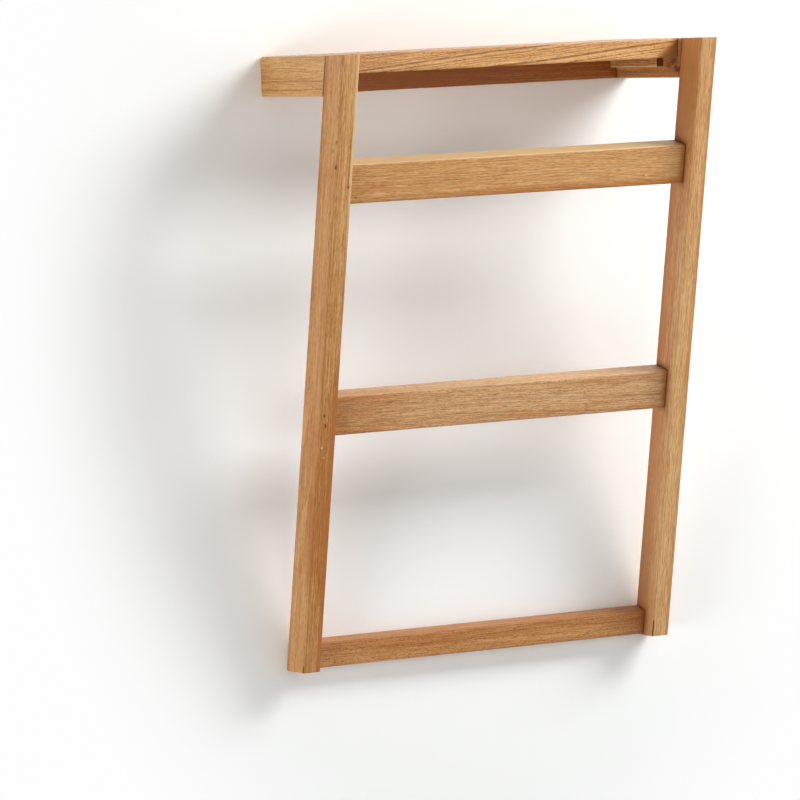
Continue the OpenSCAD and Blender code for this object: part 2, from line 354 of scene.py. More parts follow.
class Field:
    """A number, colour or shader that varies over a surface; a sum of fields is a Math node."""

    def __init__(self, tree, socket):
        self.tree, self.socket = tree, socket

    def node(self, kind, settings=None, inputs=None, output=0):
        """Adds a node: its settings first, then its sockets' values or links."""
        made = self.tree.nodes.new("ShaderNode" + kind)
        for key, value in (settings or {}).items():
            setattr(made, key, value)
        for key, value in (inputs or {}).items():
            if isinstance(value, Field):
                self.tree.links.new(value.socket, made.inputs[key])
            else:
                made.inputs[key].default_value = value
        return Field(self.tree, made.outputs[output]) if made.outputs else None

    def math(self, operation, *others):
        return self.node("Math", {"operation": operation}, dict(enumerate((self, *others))))

    def __add__(self, other):
        return self.math("ADD", other)

    def __sub__(self, other):
        return self.math("SUBTRACT", other)

    def __mul__(self, other):
        return self.math("MULTIPLY", other)

    def __truediv__(self, other):
        return self.math("DIVIDE", other)

    def __pow__(self, other):
        return self.math("POWER", other)

    def __rsub__(self, other):
        return self.node("Math", {"operation": "SUBTRACT"}, {0: other, 1: self})

    __radd__ = __add__
    __rmul__ = __mul__

    def dot(self, axis):
        return self.node("VectorMath", {"operation": "DOT_PRODUCT"}, {0: self, 1: axis}, "Value")

    def rise(self, start, stop):
        """0 before start, 1 after stop, smooth between; it falls where start is over stop."""
        low, high = sorted((start, stop))
        span = self.node(
            "MapRange", {"interpolation_type": "SMOOTHSTEP"},
            {"Value": self, "From Min": low, "From Max": high})
        return span if start < stop else 1 - span

    def mixed(self, other, share):
        """This colour with a share of another."""
        return self.node(
            "Mix", {"data_type": "RGBA"}, {"Factor": share, "A": self, "B": other}, "Result")

    def between(self, first, second):
        """The first colour where this share is 0, the second where it is 1."""
        return self.node(
            "Mix", {"data_type": "RGBA"}, {"Factor": self, "A": first, "B": second}, "Result")

    def choice(self, first, second):
        """The first shader where this share is 0, the second where it is 1."""
        return self.node("MixShader", None, {0: self, 1: first, 2: second})


def distance(*offsets):
    """Length of the vector that has these fields as its parts."""
    squares = [offset * offset for offset in offsets]
    return sum(squares[1:], squares[0]) ** 0.5


def tinted(colour, gains):
    """A colour with its red, green and blue multiplied by gains."""
    return [part * gain for part, gain in zip(colour, gains)] + [1]


def shaded(colour, gain):
    """A colour made darker or paler by one gain."""
    return tinted(colour, (gain, gain, gain))


def blank_finish(name):
    """A new material, and a field to start its empty tree from."""
    finish = bpy.data.materials.new(name)
    finish.use_nodes = True
    finish.node_tree.nodes.clear()
    return finish, Field(finish.node_tree, None)


def surfaced(colour, roughness, relief, strength, depth, others=None):
    """Ends a tree with a surface: colour, roughness, relief in metres, and other sockets."""
    bump = relief.node("Bump", None, {"Strength": strength, "Distance": depth, "Height": relief})
    shader = colour.node("BsdfPrincipled", None, {
        "Base Color": colour, "Roughness": roughness, "Normal": bump, **(others or {})})
    shader.node("OutputMaterial", None, {"Surface": shader})


def grain_noise(along, across, face, lengths, seed, detail=2.0, output="Fac"):
    """Noise whose grains have the given lengths, in millimetres, along, across and to the face."""
    scaled = along.node("CombineXYZ", None, {
        "X": along / lengths[0] + seed, "Y": across / lengths[1], "Z": face / lengths[2]})
    return along.node(
        "TexNoise", None, {"Vector": scaled, "Scale": 1.0, "Detail": detail}, output)


# Teak's shades, as gains on a stick's mean brown, and how deep its open grain is
pale_gain = (1.22, 1.30, 1.42)
golden_gain = (0.98, 0.96, 0.90)
red_gain = (0.79, 0.55, 0.34)
umber_gain = (0.50, 0.37, 0.26)
brownest_gain = (0.36, 0.25, 0.18)
# the painted highlight's colour, as gains on the pale shade
highlight_gain = (1.02, 1.30, 1.60)
grain_depth = 0.00014


def teak(name, stick, brown, pith, ring_gap, drift=(0.0, 0.0), bend=None, seed=0.0, figure=1.0,
         lines=1.0, pitting=1.0, pore_length=8.0, heart_and_shade=None, painted_highlight=None, oiled=None, edges=0.14,
         ends=(0.66, 0.52, 0.42), sheen=0.42, joints=(), sockets=(), rows=(), knots=(), pits=(),
         checks=()):
    """Oiled teak of a mean brown, cut from a log whose pith lies off the stick by pith.

    Lengths are in millimetres from the stick's middle, along it, across it and
    to its face. ring_gap is the growth rings' distance, drift the slope of the
    pith to the stick and bend its curve. figure is how much the tone varies,
    lines how dark the rings' rows of pores are, and pitting how dark the single
    pores of pore_length. ends is the end grain's gain and sheen its roughness.

    The four arguments after pore_length are functions of a place that give the
    share of redder wood, heartwood with painted shade on some pieces and painted
    light on the front rail; of pale wood as a painted highlight; of darker umber
    wood, mostly painted shade; and of painted shade on the arrises. lines may be
    such a function too, and the last of the four a number.

    joints are planes where the stick meets other wood, each with how far the
    painted shade reaches from it, and sockets (along, half, face, half, side) are
    where a piece butts on it, with painted shade round them. rows are single dark
    growth lines (across, half width, depth). knots and pits are (along, across,
    face, radius), dark and pale, and checks (along from, along to, across, face,
    half width) are drying cracks.
    """
    finish, start = blank_finish(name)
    place = start.node("TexCoord", output="Object")
    facing = start.node("TexCoord", output="Normal")
    along, across, face = (
        (place.dot(axis) - middle) * mm_per_m for axis, middle in zip(stick.axes, stick.middle))
    half_across, half_face = (float(mm_per_m * half) for half in stick.half[1:])

    def here(mask):
        return mask(along, across, face) if callable(mask) else mask

    # The log: rings about a pith that wanders, each year with its own width and tone
    wander = grain_noise(along, across, face, (260, 70, 70), seed, 1.0, "Color")
    wander_x = wander.node("SeparateXYZ", None, {0: wander}, "X")
    wander_y = wander.node("SeparateXYZ", None, {0: wander}, "Y")
    pith_x = across + along * drift[0] + (wander_x - 0.5) * (3.0 * ring_gap) + pith[0]
    if bend is not None:
        pith_x = pith_x + here(bend)
    pith_y = face + along * drift[1] + (wander_y - 0.5) * (3.0 * ring_gap) + pith[1]
    ruffle = grain_noise(along, across, face, (26, 3.5, 3.5), seed + 3)
    radius = distance(pith_x, pith_y) + (ruffle - 0.5) * (0.20 * ring_gap)
    years = radius.node(
        "TexNoise", {"noise_dimensions": "1D"},
        {"W": radius / (3.1 * ring_gap) + seed, "Scale": 1.0, "Detail": 1.0})
    growth = radius / ring_gap + years * 3.0
    season = growth.math("FRACT")
    year_tone = growth.node(
        "TexWhiteNoise", {"noise_dimensions": "1D"}, {"W": growth.math("FLOOR")}, "Value")
    late_wood = season.rise(0.25, 0.95) * season.rise(1.0, 0.97)
    past_ring = season * ring_gap
    pore_row = past_ring.rise(0.0, 0.2) * past_ring.rise(1.3, 0.5) * year_tone.rise(-0.50, 0.60)

    # The fibre: broad bands, streaks, threads, rows of pores and single pores
    bands = grain_noise(along, across, face, (230, 12, 12), seed + 7, 1.0) - 0.5
    streaks = grain_noise(along, across, face, (90, 2.6, 2.6), seed + 11, 1.0) - 0.5
    threads = grain_noise(along, across, face, (34, 1.0, 1.0), seed + 17, 1.0) - 0.5
    speckle = grain_noise(along, across, face, (pore_length / 2, 1.0, 1.0), seed + 19, 1.0) - 0.5
    dashes = grain_noise(along, across, face, (13, 1.5, 1.5), seed + 23, 1.0).rise(0.30, 0.52)
    pores = grain_noise(along, across, face, (pore_length, 0.8, 0.8), seed + 29, 1.0).rise(0.56, 0.67)

    # How pale, golden or red the wood is: 0 the palest, 1 the reddest
    tone = (bands * 1.7 + streaks * 1.0) * figure + threads * 1.9 + speckle * 1.4
    tone = tone + (late_wood - 0.35) * (0.34 * figure) + 0.42
    # redder tone: heartwood, with painted shade and painted light on some pieces
    if heart_and_shade is not None:
        tone = tone + here(heart_and_shade)
    pale = tinted(brown, pale_gain)
    red = tinted(brown, red_gain)
    umber = tinted(brown, umber_gain)
    brownest = tinted(brown, brownest_gain)
    black = shaded(brownest, 0.4)
    colour = tone.rise(-0.25, 0.75).between(pale, tinted(brown, golden_gain))
    colour = colour.mixed(red, tone.rise(0.35, 1.45))
    colour = colour.mixed(umber, (threads * 1.2 + speckle + 0.12).rise(0.0, 0.6) * 0.27)
    colour = colour.mixed(brownest, pore_row * (0.35 + dashes * 0.65) * 0.60 * here(lines))
    colour = colour.mixed(brownest, pores * (0.30 + late_wood * 0.24) * pitting)
    for row_across, row_half_width, row_depth in rows:
        off = (across - row_across + (ruffle - 0.5) * 1.6 + bands * 2.0).math("ABSOLUTE")
        row = off.rise(1.3 * row_half_width, 0.4 * row_half_width) * (0.35 + dashes * 0.65)
        colour = colour.mixed(brownest, row * row_depth)

    # The arrises get painted shade, and some arrises and tops a painted highlight; the sawn ends show the
    # rings
    side_gap = half_across - across.math("ABSOLUTE")
    face_gap = half_face - face.math("ABSOLUTE")
    edge_gap = side_gap.math("MAXIMUM", face_gap) + threads * 1.2
    colour = colour.mixed(umber, edge_gap.rise(1.7, 0.1) * here(edges))
    # painted highlight: paler wood where an arris or top catches the light
    if painted_highlight is not None:
        colour = colour.mixed(tinted(pale, highlight_gain), here(painted_highlight) * (0.85 + threads * 0.9))
    # darker umber wood: painted shade on the side, front and back rails; on the right arm and bottom rail
    # only a darker patch
    if oiled is not None:
        colour = colour.mixed(umber, oiled(along + streaks * 9, across, face))
    end_grain = facing.dot(stick.axes[0]).math("ABSOLUTE").rise(0.70, 0.95)
    end_brown = tinted(brown, ends)
    end_rings = late_wood * 0.65 + pores * 0.35
    end_colour = end_rings.between(shaded(end_brown, 1.12), shaded(end_brown, 0.72))
    colour = colour.mixed(end_colour, end_grain)

    # Dirt in the glue joints, and painted shade spreading from the joints and round the sockets
    sunk = pores * 0.5 + pore_row * dashes * 0.6
    for point, normal, reach in joints:
        gap = (place.dot(normal) - point.dot(normal)).math("ABSOLUTE") * mm_per_m
        dirt = (gap + speckle * 0.9).rise(1.25, 0.40) * (0.45 + dashes * 0.55)
        # painted shade, fading out over the joint's reach
        colour = colour.mixed(umber, (gap + streaks * reach).rise(reach, 0) * 0.78)
        colour = colour.mixed(brownest, dirt * 0.85)
        sunk = sunk + dirt
    for socket_along, half_along, socket_face, half_socket, side_sign in sockets:
        gap_along = (along - socket_along).math("ABSOLUTE") - half_along
        gap_face = (face - socket_face).math("ABSOLUTE") - half_socket
        gap = gap_along.math("MAXIMUM", gap_face)
        inside = (across * side_sign).rise(half_across - 0.8, half_across - 0.4)
        dirt = (gap + speckle * 1.5).rise(1.9, 0.6) * inside
        # painted shade round the butting piece
        colour = colour.mixed(umber, (gap + streaks * 9).rise(9, 0) * inside * 0.80)
        colour = colour.mixed(brownest, dirt * 0.85)
        sunk = sunk + dirt * 0.6

    # Knots with a red halo, pale pits and dark drying checks
    for mark_along, mark_across, mark_face, size in knots:
        off = distance((along - mark_along) * 0.55, across - mark_across, face - mark_face)
        colour = colour.mixed(red, off.rise(3.2 * size, 0.9 * size) * 0.6)
        knot = (off + speckle * (3.2 * size)).rise(1.25 * size, 0.65 * size)
        colour = colour.mixed(black, knot * 0.92)
        sunk = sunk + knot
    for mark_along, mark_across, mark_face, size in pits:
        off = distance((along - mark_along) * 0.8, across - mark_across, face - mark_face)
        pit = (off + speckle * size * 2).rise(1.3 * size, 0.6 * size)
        colour = colour.mixed(shaded(pale, 1.35), pit * 0.85)
    for low_along, high_along, mark_across, mark_face, size in checks:
        off = distance(across - mark_across + speckle * 0.8, face - mark_face)
        check = off.rise(1.6 * size, 0.7 * size)
        check = check * along.rise(high_along, high_along - 2.0) * along.rise(low_along - 1.0, low_along)
        colour = colour.mixed(black, check * 0.92)
        sunk = sunk + check

    roughness = sheen + threads * 0.20 + sunk * 0.15 + end_grain * 0.18
    relief = threads * 0.5 + speckle * 0.15 - sunk
    surfaced(
        colour, roughness, relief, strength=0.8, depth=grain_depth,
        others={"IOR": 1.45, "Specular IOR Level": 0.36})
    return finish


def fitted(piece, finish, slot, *nodes):
    """Dresses a piece, and puts it in the place of its CAD nodes."""
    piece.data.materials.clear()
    piece.data.materials.append(finish)
    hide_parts(*nodes)
    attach(piece, "root")


rail_top = cad_high.z
rail_foot = cad_low.z
square_end = end_insets(sawn_end_round, sawn_end_round)


def blush(along, other, middle, half_length, half_width):
    """1 in the middle of a soft long spot of a face, 0 outside it."""
    off = distance((along - middle[0]) / half_length, (other - middle[1]) / half_width)
    return off.rise(1.0, 0.1)


# Where a rail's side that looks left begins, coming to it and leaving it
onto_left_side = (-9.2, -10.6)
off_left_side = (-10.6, -9.2)


# What each rail shows of its log: the left one is redder on its front face
# below its middle; the right one is redder on its inner face towards the wall, which is painted shade
def left_heart(along, across, face):
    on_front = across.rise(*off_left_side)

    # Front face: a red wedge below the middle, red edges, and a pale spot above
    front = (along - across * 3).rise(35, -105) * 0.76 - (along + across * 3).rise(-240, -300) * 0.50
    front = front + across.rise(3, 8) * along.rise(40, -80) * 0.75
    front = front + across.rise(5, 10) * along.rise(0, 80) * 0.55
    front = front + across.rise(-4, -9) * along.rise(90, -60) * 0.25
    front = front - blush(along, across, (150, 0), 85, 11) * 0.30

    # Outer side: redder towards the room below the middle, with stains of its own
    low = along.rise(180, -130) * along.rise(-285, -235)
    side = face.rise(-20, 22) * low * 0.58 + face.rise(10, 19) * along.rise(-290, -240) * 0.26
    side = side + along.rise(-60, 260) * 0.16 + 0.12
    side = side + blush(along, face, (-190, 17), 80, 18) * 0.32
    side = side - blush(along, face, (152, 4), 90, 30) * 0.30
    side = side + blush(along, face, (-159, 11), 24, 8) * 0.8
    side = side + blush(along, face, (-244, -4), 20, 5) * 0.7
    side = side - face.rise(6, 11) * along.rise(190, 300) * 0.35
    return on_front * front + (1 - on_front) * side


def right_tone_and_shade(along, across, face):
    on_side = across.rise(*onto_left_side)

    # Inner side: painted shade, redder towards the wall and more so at the foot; redder at the top too
    side = (15.75 - face) * 0.028 + along.rise(180, 310) * 0.30 + 0.20
    side = side + along.rise(90, 220) * 0.18 + along.rise(200, 290) * face.rise(2, 14) * 0.30
    side = side + along.rise(-190, -330) * face.rise(10, -12) * 0.45

    # Front face: redder upwards and along both edges
    front = along.rise(-60, 320) * 0.20 + across.rise(4, 8) * 0.34 + across.rise(-6, -9) * 0.16
    front = front + across.rise(4, 10) * along.rise(0, 90) * 0.30
    return on_side * side + (1 - on_side) * front


# Painted shade on a rail's arrises: most on the right-hand ones, then the back ones, a little on all
def rail_edge_shade(along, across, face):
    return across.rise(2, 9) * 0.75 + face.rise(4, -8) * 0.50 + 0.25


rail_wood = {
    "left": dict(
        brown=(0.594, 0.305, 0.109), pith=(90, 5), ring_gap=5.0, drift=(0.006, -0.004), seed=5.0,
        figure=0.9, pore_length=12.0, heart_and_shade=left_heart,
        lines=lambda along, across, face: across.rise(*off_left_side) * 0.9,
        # painted highlight on the upper part of the front face's right arris
        painted_highlight=lambda along, across, face: (
            across.rise(6.8, 8.4) * face.rise(18.8, 20.0) * along.rise(110, 240)),
        # painted shade on the outer side towards the wall, deeper towards the foot
        oiled=lambda along, across, face: (
            across.rise(*onto_left_side) * face.rise(-9, -21) * (0.14 + along.rise(-230, -330) * 0.26)),
        knots=(
            (274.2, -11.2, 19.4, 0.9), (262.2, -11.2, 11.6, 0.8), (244.7, -10.8, 20.4, 1.3),
            (220.6, 6.6, 21.2, 0.8), (-52.9, -5.1, 21.2, 1.0), (-64.5, -2.9, 21.2, 1.1)),
        pits=((-91.2, -6.0, 21.2, 0.9), (-103.1, -3.2, 21.2, 0.7)),
        checks=((-370, -358, -10.9, 20.6, 0.5),)),
    "right": dict(
        brown=(0.666, 0.381, 0.168), pith=(-90, 5), ring_gap=4.4, drift=(0.03, 0.0), seed=41.0,
        figure=0.45, pitting=0.4, pore_length=18.0, heart_and_shade=right_tone_and_shade,
        lines=lambda along, across, face: across.rise(*off_left_side) * 0.2,
        # painted shade on the inner side towards the wall, most at the foot, and a little at the top
        oiled=lambda along, across, face: (
            across.rise(*onto_left_side) * (
                face.rise(-8, -20) * 0.34 + along.rise(240, 310) * 0.12
                + along.rise(-120, -340) * (face.rise(16, -8) * 0.44 + 0.12))),
        checks=((-371, -346, -10.6, 20.6, 0.8),)),
}
rail_crossings = ("upper_towel_slat", "middle_towel_slat", "bottom_rail")


def socket_in(rail, node, side_sign):
    """Where a cross piece butts on a rail, in millimetres from the rail's middle."""
    piece = Stick(node, level_x, up_rail, rail_face)
    along, face = piece.middle[1] - rail.middle[0], piece.middle[2] - rail.middle[2]
    return [mm_per_m * size for size in (along, piece.half[1], face, piece.half[2])] + [side_sign]


for side in ("left", "right"):
    node = side + "_side_rail"
    stick = Stick(node, up_rail, level_x, rail_face)
    piece = timber(
        "teak_" + node, stick, rail_arris, square_end, square_end,
        plane_on(stick, upright * rail_foot, upright), plane_on(stick, upright * rail_top, upright))
    planed_off(piece, Vector((0, 0, 0)), level_y)
    heel = Vector((0, -heel_round, rail_foot + heel_round))
    for facet in range(heel_facets):
        angle = (facet + 0.5) / heel_facets * math.pi / 2
        out = level_y * math.cos(angle) - upright * math.sin(angle)
        planed_off(piece, heel + out * heel_round, out)
    for dowels in (side + "_arm_dowels", "upper_slat_dowels", "middle_slat_dowels", "bottom_rail_dowels"):
        dowel_bores(piece, dowels)
    sockets = [socket_in(stick, cross, 1 if side == "left" else -1) for cross in rail_crossings]
    finish = teak("teak_rail_" + side, stick, edges=rail_edge_shade, sockets=sockets, **rail_wood[side])
    fitted(piece, finish, "teak_side_rail", node)


# Arms. Two short lengths of teak that tie the rails' tops back to the wall.
# Their front ends are cut on the rails' slant, glued and dowelled there; the
# two corners at the wall are rounded.

arm_corner_round = 0.0035
arm_front_round = 0.0003
arm_wood = {
    "left": dict(
        brown=(0.622, 0.330, 0.108), seed=13.0, figure=0.65, lines=0.3, pitting=0.8,
        heart_and_shade=lambda along, across, face: (
            across.rise(6, -8) * 0.15 - across.rise(-8, -18) * 0.45 + along.rise(-25, -80) * 0.20
            - across.rise(6, 18) * along.rise(20, -70) * 0.35),
        rows=((5.7, 0.5, 0.45), (-6.0, 0.6, 0.70), (-15.2, 0.6, 0.70))),
    "right": dict(
        brown=(0.545, 0.268, 0.098), seed=57.0, figure=1.0, lines=1.1,
        heart_and_shade=lambda along, across, face: across.rise(6, -14) * 0.20 - along.rise(30, -60) * 0.45,
        # darker towards its front end
        oiled=lambda along, across, face: along.rise(38, 66) * 0.45,
        knots=((52.0, -8.0, -11.2, 3.6), (63.0, -4.0, -11.2, 4.6), (70.0, -13.0, -11.2, 4.0))),
}
toward_room = Vector((0, -1, 0))
rail_back = toward_room * Stick("left_arm", toward_room, upright, level_x).high[0] + upright * rail_top

for side in ("left", "right"):
    node = side + "_arm"
    stick = Stick(node, toward_room, upright, level_x)
    piece = timber(
        "teak_" + node, stick, rail_arris,
        end_insets(arm_corner_round, sawn_end_round), end_insets(arm_front_round, arm_front_round),
        None, plane_on(stick, rail_back, rail_face))
    for dowels in (side + "_arm_dowels", "front_rail_dowels", "back_rail_dowels"):
        dowel_bores(piece, dowels)
    finish = teak(
        "teak_arm_" + side, stick, pith=(-90, 14), ring_gap=5.4, drift=(0.012, 0.0), sheen=0.30,
        joints=[(rail_back, rail_face, 4)], **arm_wood[side])
    fitted(piece, finish, "teak_arm", node)


# Cross pieces that hold the towels: two slats and a slimmer bottom rail, each
# dowelled and glued between the side rails, square to them.

joint_round = 0.0006
joint_end = end_insets(joint_round, joint_round)
# The rails' inner faces, each with how far the painted shade spreads from it; by the right rail it is the
# rail's shadow on the cross pieces' ends
inner_faces = [
    (Vector((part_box("left_side_rail")[1][0], 0, 0)), level_x, 3),
    (Vector((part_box("right_side_rail")[0][0], 0, 0)), level_x, 11)]


# Painted shade on a cross piece's arrises, most on the lower ones
def slat_edge_shade(along, across, face):
    return across.rise(-8, -16) * 0.45 + 0.10


def bottom_heart(along, across, face):
    shown = across.rise(-9, 3) * face.rise(5, 9) * (0.36 + along.rise(60, 220) * 0.14)
    return shown - blush(along, across, (-125, -3), 50, 8) * 0.30


# Each piece's dowels, slot, arris and wood
cross_pieces = {
    "upper_towel_slat": ("upper_slat_dowels", "teak_slat", 0.0016, dict(
        brown=(0.642, 0.341, 0.131), pith=(95, 22), ring_gap=3.6, drift=(0.004, 0.0), seed=23.0,
        bend=lambda along, across, face: along.rise(40, 250) * (22 - across) * 0.35,
        figure=0.45, lines=0.65, pitting=0.6, pore_length=14.0,
        heart_and_shade=lambda along, across, face: (
            across.rise(0, -24) * 0.12 + across.rise(-13, -20) * (along.rise(-160, 20) * 0.45 + 0.18)
            + along.rise(60, -160) * across.rise(-16, -6) * 0.20 - 0.08),
        # painted sheen along the top, and painted shade on the arrises
        painted_highlight=lambda along, across, face: across.rise(22.3, 23.3) * 0.95, edges=slat_edge_shade,
        knots=((-214.0, -16.0, 14.0, 0.5),), pits=((175.4, -10.7, 14.0, 0.8),))),
    "middle_towel_slat": ("middle_slat_dowels", "teak_slat", 0.0011, dict(
        brown=(0.664, 0.379, 0.177), pith=(-90, 26), ring_gap=3.3, drift=(0.045, 0.0), seed=31.0,
        figure=0.6, lines=lambda along, across, face: across.rise(8, -16) * 0.6 + 0.6, pitting=1.3,
        heart_and_shade=lambda along, across, face: (
            along.rise(-60, -235) * 0.72 + across.rise(-6, -20) * 0.16 - 0.06),
        # a little painted sheen along the top, and painted shade on the arrises
        painted_highlight=lambda along, across, face: across.rise(22.3, 23.3) * 0.20, edges=slat_edge_shade)),
    "bottom_rail": ("bottom_rail_dowels", "teak_bottom_rail", 0.0012, dict(
        brown=(0.578, 0.275, 0.099), pith=(60, 34), ring_gap=4.2, drift=(0.02, 0.0), seed=37.0,
        figure=0.8, lines=0.35, pitting=1.7, pore_length=3.0, heart_and_shade=bottom_heart,
        # darker at the top and towards the right end
        oiled=lambda along, across, face: across.rise(13.0, 15.0) * 0.30 + along.rise(150, 225) * 0.30)),
}

for node, (dowels, slot, arris, wood) in cross_pieces.items():
    stick = Stick(node, level_x, up_rail, rail_face)
    piece = timber("teak_" + node, stick, arris, joint_end, joint_end)
    dowel_bores(piece, dowels)
    fitted(piece, teak("teak_" + node, stick, joints=inner_faces, **wood), slot, node)


# Shelf frame: a front rail between the arms' front ends, and a back rail flat
# on the wall. The back rail carries the rack's weight, and is routed out
# behind for its two hanger plates and for the heads of the wall's screws.

front_rail_arris = 0.0011
back_rail_arris = 0.0015
plate_room = 0.0002
plate_corner_round = 0.0030
keyhole_entry_radius = 0.0050
keyhole_rise = 0.0090
wall_screw_room = 0.0010
wall_screw_depth = 0.0070
cut_overrun = 0.0010
head_to_shank = 2.0
head_depth_share = 1.2
screw_room = 0.0001
corner_facets = 5


def rounded_prism(low, high, radius, depth):
    """Solid behind a rounded rectangle in X and Z, from behind the wall's face to depth."""
    bm = bmesh.new()
    rings = []
    for y in (cut_overrun, -depth):
        ring = []
        for corner in range(4):
            sign_x, sign_z = (1, -1, -1, 1)[corner], (1, 1, -1, -1)[corner]
            x = (high.x if sign_x > 0 else low.x) - sign_x * radius
            z = (high.z if sign_z > 0 else low.z) - sign_z * radius
            for step in range(corner_facets + 1):
                angle = (corner + step / corner_facets) * math.pi / 2
                place = (x + radius * math.cos(angle), y, z + radius * math.sin(angle))
                ring.append(bm.verts.new(place))
        rings.append(ring)
    skin(bm, rings)
    bmesh.ops.remove_doubles(bm, verts=bm.verts, dist=cut_slack)
    return finished("cutter", bm)


def screw_bores(piece, node, heading, sink):
    """Countersunk bores for the screws of a node, each head sunk by sink below the face."""
    cutters = []
    for first, last in loose_parts(node):
        if apart(piece, first, last):
            continue
        size = last - first
        length = abs(size.dot(heading))
        head = min(size) / 2
        shank = head / head_to_shank
        profile = [
            (-sink, head + screw_room), (0, head + screw_room),
            (head_depth_share * shank, shank + screw_room), (length + screw_room, shank + screw_room)]
        start = (first + last) / 2 - heading * length / 2
        cutters.append(turned(profile, start, heading))
    cut_from(piece, cutters)


stick = Stick("front_rail", level_x, upright, toward_room)
piece = timber("teak_front_rail", stick, front_rail_arris, joint_end, joint_end)
dowel_bores(piece, "front_rail_dowels")
finish = teak(
    "teak_front_rail", stick, brown=(0.648, 0.336, 0.116), pith=(-70, 18), ring_gap=3.1,
    drift=(-0.075, 0.0), seed=43.0, figure=0.8, lines=1.6, pitting=1.5, pore_length=6.0, sheen=0.30,
    # paler towards the right end: painted light against the shadow that falls there
    heart_and_shade=lambda along, across, face: (
        along.rise(-100, -225) * 0.20 - along.rise(120, 215) * 0.35 - across.rise(-3, -9) * 0.28),
    # a little painted shade on the upper arrises
    edges=lambda along, across, face: across.rise(0, 8) * 0.10,
    # painted shadow of the right rail: a dark wedge at the right end
    oiled=lambda along, across, face: (along - across * 1.4).rise(206, 219) * 0.90,
    joints=inner_faces)
fitted(piece, finish, "teak_front_rail", "front_rail")

stick = Stick("back_rail", level_x, upright, toward_room)
piece = timber("teak_back_rail", stick, back_rail_arris, joint_end, joint_end)
dowel_bores(piece, "back_rail_dowels")
for side in ("left", "right"):
    low, high = (Vector(corner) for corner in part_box(side + "_hanger_plate"))
    room = Vector((plate_room, 0, plate_room))
    pocket = rounded_prism(low - room, high + room, plate_corner_round, high.y - low.y)
    reach = keyhole_entry_radius + wall_screw_room
    middle = (low.x + high.x) / 2
    head_room = rounded_prism(
        Vector((middle - reach, 0, -reach)), Vector((middle + reach, 0, keyhole_rise + reach)),
        reach, wall_screw_depth)
    cut_from(piece, [pocket, head_room])
    screw_bores(piece, side + "_hanger_screws", toward_room, cut_overrun)
finish = teak(
    "teak_back_rail", stick, brown=(0.560, 0.235, 0.056), pith=(60, 24), ring_gap=4.0,
    drift=(0.02, 0.0), seed=47.0, figure=0.8,
    # the face turned to the room is darker and redder: painted shade under the shelf
    heart_and_shade=lambda along, across, face: face.rise(0, 4.5) * (1.1 - along.rise(-20, 180) * 0.5),
    oiled=lambda along, across, face: face.rise(0, 4.5) * (0.60 - along.rise(-60, 160) * 0.25),
    joints=inner_faces)
fitted(piece, finish, "teak_back_rail", "back_rail")


# Shelf boards: three thin teak boards with drainage gaps between them, screwed
# on from below through the cleats.

board_arris = 0.0015
for number, place in enumerate(("front", "middle", "rear")):
    node = "shelf_board_" + place
    stick = Stick(node, level_x, toward_room, upright)
    piece = timber("teak_" + node, stick, board_arris, square_end, square_end)
    for side in ("left", "right"):
        screw_bores(piece, side + "_shelf_screws", upright, cut_overrun)
    finish = teak(
        "teak_" + node, stick, brown=(0.590, 0.330, 0.135), pith=(60 - 50 * number, 50), ring_gap=3.8,
        drift=(0.02, 0.01), seed=61.0 + 6 * number, sheen=0.26)
    fitted(piece, finish, "teak_shelf", node)


# Cleats: two sawn strips of teak under the shelf's ends, screwed to the arms.
# They are drilled from below, deep enough for the heads of the boards' screws.

cleat_arris = 0.0006
board_screw_sink = 0.0085
cleat_end = end_insets(cleat_arris, cleat_arris)
for side, outward in (("left", -level_x), ("right", level_x)):
    node = side + "_cleat"
    stick = Stick(node, toward_room, upright, level_x)
    piece = timber("teak_" + node, stick, cleat_arris, cleat_end, cleat_end)
    screw_bores(piece, side + "_cleat_screws", outward, cut_overrun)
    screw_bores(piece, side + "_shelf_screws", upright, board_screw_sink)
    lowest = -mm_per_m * stick.half[1]
    finish = teak(
        "teak_" + node, stick, brown=(0.630, 0.345, 0.128), pith=(40, 30), ring_gap=3.4,
        # very dark end grain: painted shadow; and a painted highlight along the lowest arris
        drift=(0.02, 0.02), seed=79.0, ends=(0.22, 0.14, 0.09),
        painted_highlight=lambda along, across, face: across.rise(lowest + 1.6, lowest + 0.8))
    fitted(piece, finish, "teak_cleat", node)
    arm = bpy.data.objects["teak_" + side + "_arm"]
    screw_bores(arm, side + "_cleat_screws", outward, 0)


# Dowels: beech pegs, two to a joint, glued into bores in both pieces. None
# shows once the rack is together.

beech, start = blank_finish("beech")
place = start.node("TexCoord", output="Object")
along, across, face = (place.dot(axis) * mm_per_m for axis in (level_x, level_y, upright))
fibre = grain_noise(along, across, face, (18, 0.8, 0.8), 3.0, 2.0)
flakes = grain_noise(along, across, face, (2.6, 0.35, 0.35), 9.0, 1.0).rise(0.60, 0.70)
colour = fibre.between((0.72, 0.50, 0.29, 1), (0.56, 0.36, 0.19, 1))
colour = colour.mixed((0.36, 0.20, 0.10, 1), flakes * 0.6)
surfaced(colour, 0.55 + fibre * 0.12, fibre - flakes * 0.5, strength=0.6, depth=0.0001)


def dressed(node, finish):
    """Gives a finish to a CAD node that is shown as it is."""
    for slot in frame["nodes"][node].material_slots:
        slot.material = finish


for node in (
        "left_arm_dowels", "right_arm_dowels", "back_rail_dowels", "front_rail_dowels",
        "upper_slat_dowels", "middle_slat_dowels", "bottom_rail_dowels"):
    dressed(node, beech)


# Screws and hanger plates: zinc-plated steel, with the plating's faint
# spangle and the scuffs of stamping and driving.

